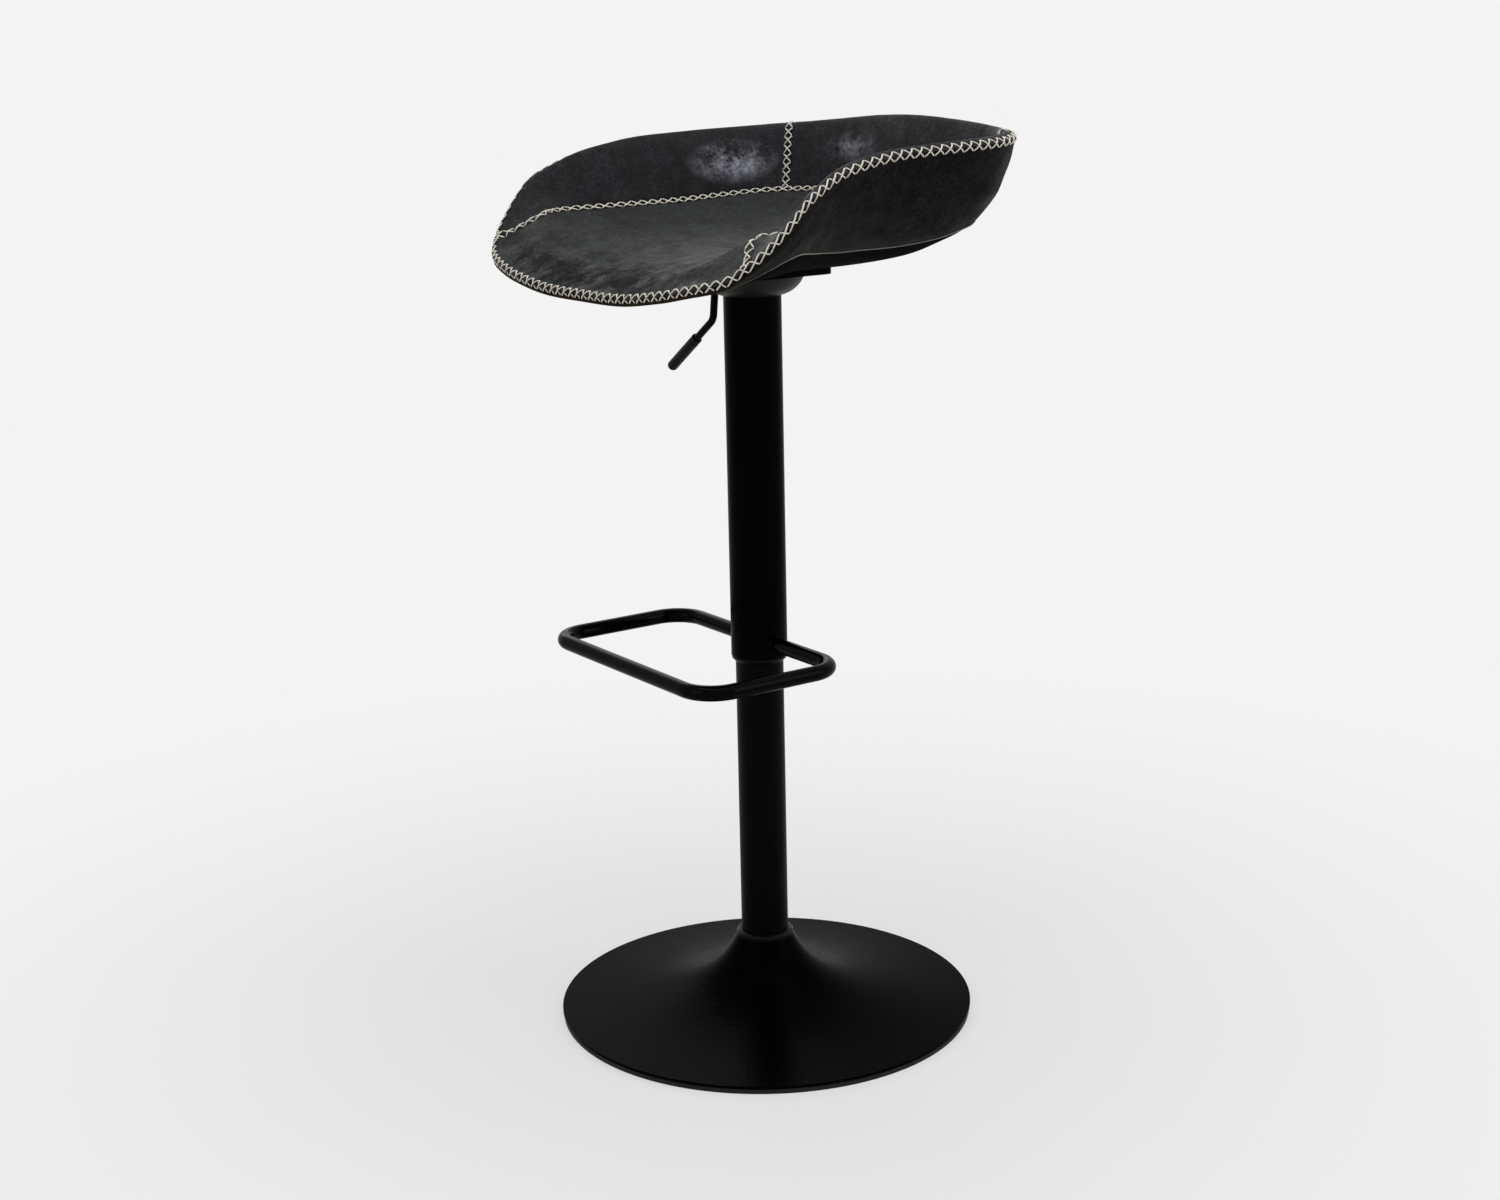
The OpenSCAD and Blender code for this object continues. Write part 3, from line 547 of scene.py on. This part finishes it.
def joined(objects, name):
    """Several thread rows as one piece."""
    vertices, faces, total = [], [], 0
    for o in objects:
        vertices += [v.co[:] for v in o.data.vertices]
        faces += [tuple(x + total for x in p.vertices) for p in o.data.polygons]
        total += len(o.data.vertices)
        bpy.data.objects.remove(o)
    return mesh_object(name, vertices, faces)


# Node materials
def material(name):
    """A new node material, with its tree and its shader."""
    m = bpy.data.materials.new(name)
    m.use_nodes = True
    tree = m.node_tree
    shader = tree.nodes["Principled BSDF"]
    return m, tree, shader


def add(tree, kind, **values):
    """A new node with its settings, and the values of its inputs."""
    n = tree.nodes.new(kind)
    for key, value in values.items():
        if hasattr(n, key) and not isinstance(value, dict):
            setattr(n, key, value)
    for key, value in values.get("inputs", {}).items():
        n.inputs[key].default_value = value
    return n


def ramp(tree, factor, stops):
    """Colour from a factor, by stops of position and colour."""
    n = tree.nodes.new("ShaderNodeValToRGB")
    n.color_ramp.elements[0].position = stops[0][0]
    n.color_ramp.elements[0].color = (*stops[0][1], 1)
    n.color_ramp.elements[1].position = stops[-1][0]
    n.color_ramp.elements[1].color = (*stops[-1][1], 1)
    for position, colour in stops[1:-1]:
        n.color_ramp.elements.new(position).color = (*colour, 1)
    tree.links.new(factor, n.inputs[0])
    return n.outputs[0]


def grey(v):
    return (v, v, v)


def dimmed(colour, share):
    return tuple(c * share for c in colour)


def noise_node(tree, scale, detail=4, roughness=0.6, stretch=(1, 1, 1)):
    place_node = tree.nodes.new("ShaderNodeTexCoord")
    mapping = tree.nodes.new("ShaderNodeMapping")
    mapping.inputs["Scale"].default_value = stretch
    tree.links.new(place_node.outputs["Object"], mapping.inputs[0])
    n = add(tree, "ShaderNodeTexNoise", inputs={"Scale": scale, "Detail": detail, "Roughness": roughness})
    tree.links.new(mapping.outputs[0], n.inputs["Vector"])
    return n


def bump(tree, height, strength, distance, under=None):
    b = add(tree, "ShaderNodeBump", inputs={"Strength": strength, "Distance": distance})
    tree.links.new(height, b.inputs["Height"])
    if under is not None:
        tree.links.new(under, b.inputs["Normal"])
    return b.outputs[0]


def product(tree, first, second):
    node = add(tree, "ShaderNodeMath", operation="MULTIPLY")
    tree.links.new(first, node.inputs[0])
    tree.links.new(second, node.inputs[1])
    return node.outputs[0]


def covered(tree, amount, under, over):
    """The colour under, and where amount is 1 the colour over."""
    node = add(tree, "ShaderNodeMix", data_type="RGBA")
    tree.links.new(amount, node.inputs["Factor"])
    tree.links.new(under, node.inputs["A"])
    node.inputs["B"].default_value = (*over, 1)
    return node.outputs["Result"]


def patch_amount(tree, centre, size, strength):
    """How much a patch covers a place: crackled patches that fade out from the centre. The patches are wear,
    painted glints and painted shade.
    """
    spot = tree.nodes.new("ShaderNodeTexCoord")
    mapping = tree.nodes.new("ShaderNodeMapping")
    mapping.inputs["Location"].default_value = tuple(-c / reach for c, reach in zip(centre, size))
    mapping.inputs["Scale"].default_value = tuple(1 / reach for reach in size)
    tree.links.new(spot.outputs["Object"], mapping.inputs[0])
    ball = add(tree, "ShaderNodeTexGradient", gradient_type="SPHERICAL")
    tree.links.new(mapping.outputs[0], ball.inputs[0])
    warp = noise_node(tree, 75, 6, 0.7)
    bent = add(tree, "ShaderNodeVectorMath", operation="MULTIPLY_ADD")
    bent.inputs[1].default_value = (0.022, 0.022, 0.022)
    tree.links.new(warp.outputs["Color"], bent.inputs[0])
    tree.links.new(spot.outputs["Object"], bent.inputs[2])
    plates = add(tree, "ShaderNodeTexVoronoi", feature="DISTANCE_TO_EDGE", inputs={"Scale": 85})
    tree.links.new(bent.outputs[0], plates.inputs["Vector"])
    rub = ramp(tree, plates.outputs["Distance"],
               [(0.0, grey(0.3)), (0.04, grey(0.75)), (0.14, grey(1.0))])
    patches = ramp(tree, noise_node(tree, 42, 12, 0.8).outputs[0],
                   [(0.43, grey(0.0)), (0.5, grey(0.4)), (0.62, grey(1.0))])
    amount = add(tree, "ShaderNodeMath", operation="MULTIPLY")
    amount.inputs[1].default_value = strength
    amount.use_clamp = True
    tree.links.new(product(tree, ball.outputs["Fac"], product(tree, rub, patches)), amount.inputs[0])
    return amount.outputs[0]


def leather(name, dark, light, specular, wear_and_painted_light):
    """Worn, waxed black leather: cloudy colour, pebble grain, fine cracks, and listed patches: rubbed shiny
    places with painted glints, and painted shade.
    """
    m, tree, shader = material(name)
    middle = tuple((a + b) / 2 for a, b in zip(dark, light))
    clouds = noise_node(tree, 24, 12, 0.78)
    colour = ramp(tree, clouds.outputs[0], [(0.40, dark), (0.5, middle), (0.60, light)])
    specks = noise_node(tree, 290, 4, 0.75)
    speck_mask = ramp(tree, specks.outputs[0], [(0.36, grey(0.2)), (0.5, grey(1.0)), (0.64, grey(2.5))])
    mixed = add(tree, "ShaderNodeMix", data_type="RGBA", blend_type="MULTIPLY")
    mixed.inputs["Factor"].default_value = 1
    tree.links.new(colour, mixed.inputs["A"])
    tree.links.new(speck_mask, mixed.inputs["B"])
    base = mixed.outputs["Result"]
    rough = ramp(tree, noise_node(tree, 45, 10, 0.75).outputs[0], [(0.35, grey(0.42)), (0.65, grey(0.74))])
    # Each patch paints its tone and sets its roughness: wear with painted glints, and painted shade
    for centre, size, strength, tone, polish in wear_and_painted_light:
        amount = patch_amount(tree, centre, size, strength)
        base = covered(tree, amount, base, tone)
        rough = covered(tree, amount, rough, grey(polish))
    tree.links.new(base, shader.inputs["Base Color"])
    tree.links.new(rough, shader.inputs["Roughness"])
    cells = add(tree, "ShaderNodeTexVoronoi", feature="F1", inputs={"Scale": 520})
    coords = tree.nodes.new("ShaderNodeTexCoord")
    tree.links.new(coords.outputs["Object"], cells.inputs["Vector"])
    grain = bump(tree, cells.outputs["Distance"], 0.6, 0.0007)
    creases = noise_node(tree, 60, 12, 0.8, (1, 1, 1.5))
    tree.links.new(bump(tree, creases.outputs[0], 0.55, 0.0022, grain), shader.inputs["Normal"])
    shader.inputs["Specular IOR Level"].default_value = specular
    return m


def coat(name, colour, rough_low, rough_high, grain, specular, peel=0.35):
    """Powder coat with a fine orange peel."""
    m, tree, shader = material(name)
    clouds = noise_node(tree, 9, 3)
    tree.links.new(ramp(tree, clouds.outputs[0], [(0.3, dimmed(colour, 0.85)), (0.7, dimmed(colour, 1.15))]),
                   shader.inputs["Base Color"])
    tree.links.new(ramp(tree, noise_node(tree, 30, 4).outputs[0],
                        [(0.3, grey(rough_low)), (0.7, grey(rough_high))]), shader.inputs["Roughness"])
    tree.links.new(bump(tree, noise_node(tree, grain, 2).outputs[0], peel, 0.0009), shader.inputs["Normal"])
    shader.inputs["Specular IOR Level"].default_value = specular
    return m


def metal(name, colour, rough_low, rough_high):
    """Bare metal with faint streaks."""
    m, tree, shader = material(name)
    shader.inputs["Metallic"].default_value = 1
    tree.links.new(ramp(tree, noise_node(tree, 90, 4, 0.6, (1, 1, 0.2)).outputs[0],
                        [(0.3, dimmed(colour, 0.85)), (0.7, colour)]), shader.inputs["Base Color"])
    tree.links.new(ramp(tree, noise_node(tree, 140, 3).outputs[0],
                        [(0.3, grey(rough_low)), (0.7, grey(rough_high))]), shader.inputs["Roughness"])
    return m


def cloth(name, dark, light, scale, specular=0.05):
    """Dull woven or cut surface, with painted shade darkening its pits."""
    m, tree, shader = material(name)
    weave = add(tree, "ShaderNodeTexVoronoi", feature="F1", inputs={"Scale": scale})
    coords = tree.nodes.new("ShaderNodeTexCoord")
    tree.links.new(coords.outputs["Object"], weave.inputs["Vector"])
    tree.links.new(ramp(tree, weave.outputs["Distance"], [(0.1, dark), (0.6, light)]),
                   shader.inputs["Base Color"])
    tree.links.new(bump(tree, weave.outputs["Distance"], 0.5, 0.0005), shader.inputs["Normal"])
    shader.inputs["Roughness"].default_value = 0.92
    shader.inputs["Specular IOR Level"].default_value = specular
    return m


def thread(name):
    """Pale waxed thread, with painted shade in the low parts of its twist."""
    m, tree, shader = material(name)
    twist = add(tree, "ShaderNodeTexNoise", inputs={"Scale": 900, "Detail": 2})
    coords = tree.nodes.new("ShaderNodeTexCoord")
    tree.links.new(coords.outputs["Object"], twist.inputs["Vector"])
    tree.links.new(ramp(tree, twist.outputs[0], [(0.3, (0.68, 0.62, 0.50)), (0.6, (0.95, 0.91, 0.82))]),
                   shader.inputs["Base Color"])
    tree.links.new(bump(tree, twist.outputs[0], 0.5, 0.0004), shader.inputs["Normal"])
    shader.inputs["Roughness"].default_value = 0.6
    return m


def wood(name):
    """Plywood with a streaky grain."""
    m, tree, shader = material(name)
    tree.links.new(ramp(tree, noise_node(tree, 18, 6, 0.6, (1, 6, 6)).outputs[0],
                        [(0.3, (0.38, 0.25, 0.14)), (0.7, (0.60, 0.44, 0.27))]), shader.inputs["Base Color"])
    shader.inputs["Roughness"].default_value = 0.6
    return m


PAN_DARK, PAN_LIGHT = (0.0032, 0.0040, 0.0039), (0.0150, 0.0178, 0.0172)
WALL_DARK, WALL_LIGHT = (0.0034, 0.0033, 0.0043), (0.0120, 0.0118, 0.0152)
OUTER_DARK, OUTER_LIGHT = (0.0020, 0.0022, 0.0020), (0.0066, 0.0072, 0.0066)
# Patches: middle, reach, and how strong. The wall and back patches are worn places with painted glints, the
# lip patch is painted shade, and the flank patch is a lighter grey place
WALL_SCUFF_GLINT = ((-0.207, 0.118, 0.905), (0.05, 0.060, 0.026), 1.8)
BACK_SCUFF_GLINT = ((-0.075, 0.190, 0.922), (0.05, 0.05, 0.018), 0.9)
LIP_SHADE_PATCH = ((0.0, -0.19, 0.81), (0.30, 0.085, 0.07), 2.4)
FLANK_GREY_PATCH = ((0.215, -0.06, 0.835), (0.09, 0.15, 0.05), 1.3)
# Colour and roughness of the patches: pale worn leather with painted glints, painted shade on the lip, and a
# lighter grey
PALE_SCUFF_AND_GLINT = ((0.34, 0.35, 0.41), 0.25)
PAINTED_LIP_SHADE = ((0.0022, 0.0026, 0.0032), 1.0)
FLANK_GREY_TONE = ((0.022, 0.022, 0.019), 0.8)
looks = {
    "black_coat": coat("black_powder_coat", (0.0013, 0.0013, 0.0012), 0.22, 0.30, 380, 0.010),
    "gloss_coat": coat("gloss_powder_coat", (0.0012, 0.0012, 0.0013), 0.10, 0.15, 300, 0.03, 0.04),
    "zinc_steel": metal("zinc_plate", (0.5, 0.51, 0.53), 0.3, 0.45),
    "dark_steel": metal("oiled_steel", (0.14, 0.14, 0.15), 0.35, 0.5),
    "polished_steel": metal("ground_steel", (0.7, 0.71, 0.73), 0.1, 0.18),
    "cast_iron": coat("cast_weight", (0.035, 0.035, 0.037), 0.6, 0.75, 260, 0.5),
    "brass": metal("cage_brass", (0.55, 0.38, 0.14), 0.25, 0.4),
    "rubber": coat("floor_rubber", (0.008, 0.008, 0.008), 0.7, 0.85, 500, 0.3),
    "black_plastic": coat("black_moulding", (0.0020, 0.0020, 0.0022), 0.3, 0.4, 1100, 0.06),
    "plywood": wood("moulded_plywood"),
    "foam": cloth("cut_foam", (0.5, 0.46, 0.34), (0.68, 0.64, 0.5), 500),
    # The pan's patch is painted shade, darkening the front lip in mottled blotches
    "seat_leather": leather("pan_leather", PAN_DARK, PAN_LIGHT, 0.17, [LIP_SHADE_PATCH + PAINTED_LIP_SHADE]),
    # The walls' patches are scuffed, shinier leather, painted pale with painted glints
    "wall_leather": leather("wall_leather", WALL_DARK, WALL_LIGHT, 0.14,
                            [WALL_SCUFF_GLINT + PALE_SCUFF_AND_GLINT, BACK_SCUFF_GLINT + PALE_SCUFF_AND_GLINT]),
    # The outer leather's patch is a lighter grey place on its flank
    "outer_leather": leather("outer_leather", OUTER_DARK, OUTER_LIGHT, 0.04, [FLANK_GREY_PATCH + FLANK_GREY_TONE]),
    "edge_leather": cloth("raw_brown_edge", (0.009, 0.006, 0.004), (0.026, 0.017, 0.011), 900),
    "dust_cloth": cloth("black_dust_cloth", (0.0012, 0.0012, 0.0012), (0.003, 0.003, 0.003), 800, 0.01),
}
thread_look = thread("waxed_thread")
# The base cover gets a darker copy of the black coat: painted shade
base_look_painted_dark = coat("base_coat_painted_dark", (0.0008, 0.0008, 0.0007), 0.20, 0.28, 380, 0.0065)
# The lower column gets a slightly lighter copy of the black coat: painted light
column_look_painted_light = coat("column_coat_painted_light", (0.0016, 0.0016, 0.0015), 0.34, 0.42, 380, 0.026)
# The bell cover's coat is painted lighter and browner than the black coat, a painted sheen
bell_look_painted_sheen = coat("bell_coat_painted_sheen", (0.0085, 0.0078, 0.0072), 0.42, 0.52, 380, 0.16)
hem_look = cloth("pale_cut_edge", (0.12, 0.112, 0.098), (0.32, 0.30, 0.26), 900)


def dress(piece, body, slot, *replaced):
    """Gives a piece the look of its slot and its body, and hides the solids that it replaces."""
    piece.data.materials.clear()
    piece.data.materials.append(looks[slot])
    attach(piece, body)
    if replaced:
        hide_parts(*replaced)
    return piece


slots = {part["node"]: part["material_slot"] for part in frame["record"]["subparts"]}
own_look = {"bell_cover": bell_look_painted_sheen, "base_cover": base_look_painted_dark, "lower_column": column_look_painted_light}
for name, node in nodes.items():
    node.data.materials.clear()
    node.data.materials.append(own_look.get(name, looks[slots[name]]))

pan_piece, left_piece, back_piece, right_piece = make_inner()
dress(pan_piece, "carriage", "seat_leather", "seat_panel", "foam_pad")
dress(left_piece, "carriage", "wall_leather", "left_wall_panel")
dress(back_piece, "carriage", "wall_leather", "back_wall_panel")
dress(right_piece, "carriage", "wall_leather", "right_wall_panel")
dress(make_outer(), "carriage", "outer_leather", "outer_cover")
dress(make_board(), "carriage", "plywood", "seat_board")
dress(make_edge(), "carriage", "edge_leather")
hem_piece = dress(make_hem(), "carriage", "edge_leather")
hem_piece.data.materials[0] = hem_look
dress(make_underside(), "carriage", "dust_cloth", "underside_cover")

rim_row = cross_stitches("rim_cross_stitch", rim_count, rim_over)
seam_rows = []
for over, count in (seam_over(SEAM_OPENS_DEG, 180, SEAM_HALF, LEFT_CLOSE_SHARE),
                    seam_over(360 - SEAM_OPENS_DEG, 180, SEAM_HALF, RIGHT_CLOSE_SHARE),
                    upright_over(WALL_SEAM_DEG, UPRIGHT_HALF),
                    upright_over(360 - WALL_SEAM_DEG, UPRIGHT_HALF)):
    seam_rows.append(cross_stitches("row", count, over))
seam_row_piece = joined(seam_rows, "seam_cross_stitch")
for piece in (rim_row, seam_row_piece):
    piece.data.materials.clear()
    piece.data.materials.append(thread_look)
    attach(piece, "carriage")


def plain_rays(tree):
    """1 for camera, glossy and transmission rays, which see the plain backdrop."""
    kinds = tree.nodes.new("ShaderNodeLightPath")
    most = kinds.outputs["Is Camera Ray"]
    for kind in ("Is Glossy Ray", "Is Transmission Ray"):
        either = add(tree, "ShaderNodeMath", operation="MAXIMUM")
        tree.links.new(most, either.inputs[0])
        tree.links.new(kinds.outputs[kind], either.inputs[1])
        most = either.outputs[0]
    return most


# Floor, backdrop and light
floor_mesh = bpy.data.meshes.new("studio_floor")
half_floor = 14.0
floor_corners = [(-half_floor, -half_floor, 0), (half_floor, -half_floor, 0),
                 (half_floor, half_floor, 0), (-half_floor, half_floor, 0)]
floor_mesh.from_pydata(floor_corners, [], [(0, 1, 2, 3)])
floor = bpy.data.objects.new("studio_floor", floor_mesh)
bpy.context.scene.collection.objects.link(floor)
floor_look, floor_tree, floor_shader = material("studio_paper")
PAPER = (0.90, 0.90, 0.90)
BACKDROP = (0.90, 0.90, 0.90, 1)
FILL_LIGHT = 0.22
floor_tree.links.new(ramp(floor_tree, noise_node(floor_tree, 0.8, 3).outputs[0],
                          [(0.3, dimmed(PAPER, 0.98)), (0.7, PAPER)]), floor_shader.inputs["Base Color"])
floor_shader.inputs["Roughness"].default_value = 0.9
glow = floor_tree.nodes.new("ShaderNodeEmission")
glow.inputs["Color"].default_value = BACKDROP
ray = plain_rays(floor_tree)
spot = floor_tree.nodes.new("ShaderNodeTexCoord")
reach = add(floor_tree, "ShaderNodeVectorMath", operation="LENGTH")
floor_tree.links.new(spot.outputs["Object"], reach.inputs[0])
far = add(floor_tree, "ShaderNodeMapRange", interpolation_type="SMOOTHSTEP",
          inputs={"From Min": 0.24, "From Max": 1.4, "To Min": 0.55, "To Max": 1.0})
floor_tree.links.new(reach.outputs["Value"], far.inputs["Value"])
seen = add(floor_tree, "ShaderNodeMath", operation="MULTIPLY")
floor_tree.links.new(far.outputs[0], seen.inputs[0])
floor_tree.links.new(ray, seen.inputs[1])
both = floor_tree.nodes.new("ShaderNodeMixShader")
floor_tree.links.new(seen.outputs[0], both.inputs[0])
floor_tree.links.new(floor_shader.outputs[0], both.inputs[1])
floor_tree.links.new(glow.outputs[0], both.inputs[2])
floor_tree.links.new(both.outputs[0], floor_tree.nodes["Material Output"].inputs["Surface"])
floor_mesh.materials.append(floor_look)

world = bpy.data.worlds.new("studio")
bpy.context.scene.world = world
world.use_nodes = True
world_tree = world.node_tree
background = world_tree.nodes["Background"]
strength = add(world_tree, "ShaderNodeMapRange", inputs={"To Min": FILL_LIGHT, "To Max": 1.0})
world_tree.links.new(plain_rays(world_tree), strength.inputs["Value"])
world_tree.links.new(strength.outputs[0], background.inputs["Strength"])
background.inputs["Color"].default_value = BACKDROP


def lamp(name, where, aim, size, power):
    """A rectangular area lamp, turned towards a point."""
    data = bpy.data.lights.new(name, "AREA")
    data.shape = "RECTANGLE"
    data.size, data.size_y = size
    data.energy = power
    o = bpy.data.objects.new(name, data)
    bpy.context.scene.collection.objects.link(o)
    o.location = where
    o.rotation_mode = "QUATERNION"
    o.rotation_quaternion = (Vector(aim) - Vector(where)).to_track_quat("-Z", "Y")


# Name, place, size and power of each lamp
LAMPS = [("overhead", (0.2, 0.1, 3.2), (2.6, 2.6), 49),
         ("camera_left", (0.4, -2.8, 1.7), (1.6, 2.0), 13),
         ("camera_right", (2.4, 1.8, 1.6), (1.4, 2.0), 20),
         ("behind", (-2.6, 0.9, 2.0), (1.8, 1.6), 14)]
STOOL_MIDDLE = (0, 0, 0.6)
for name, where, size, power in LAMPS:
    lamp(name, where, STOOL_MIDDLE, size, power)

# Camera with the lens, the place and the axes that were solved from the picture
LENS = 54.07
CAMERA_PLACE = (1.9047, -1.3189, 1.0448)
camera_data = bpy.data.cameras.new("camera")
camera_data.lens = LENS
camera_data.sensor_width = 36
camera_data.sensor_fit = "HORIZONTAL"
camera = bpy.data.objects.new("camera", camera_data)
bpy.context.scene.collection.objects.link(camera)
right = Vector((0.57028, 0.8212, -0.02059))
up = Vector((-0.18949, 0.1559, 0.96943))
ahead = Vector((-0.7993, 0.54894, -0.24451))
turned = Matrix((right, up, -ahead)).transposed().to_4x4()
camera.matrix_world = Matrix.Translation(CAMERA_PLACE) @ turned
bpy.context.scene.camera = camera
bpy.context.scene.view_settings.view_transform = "Standard"
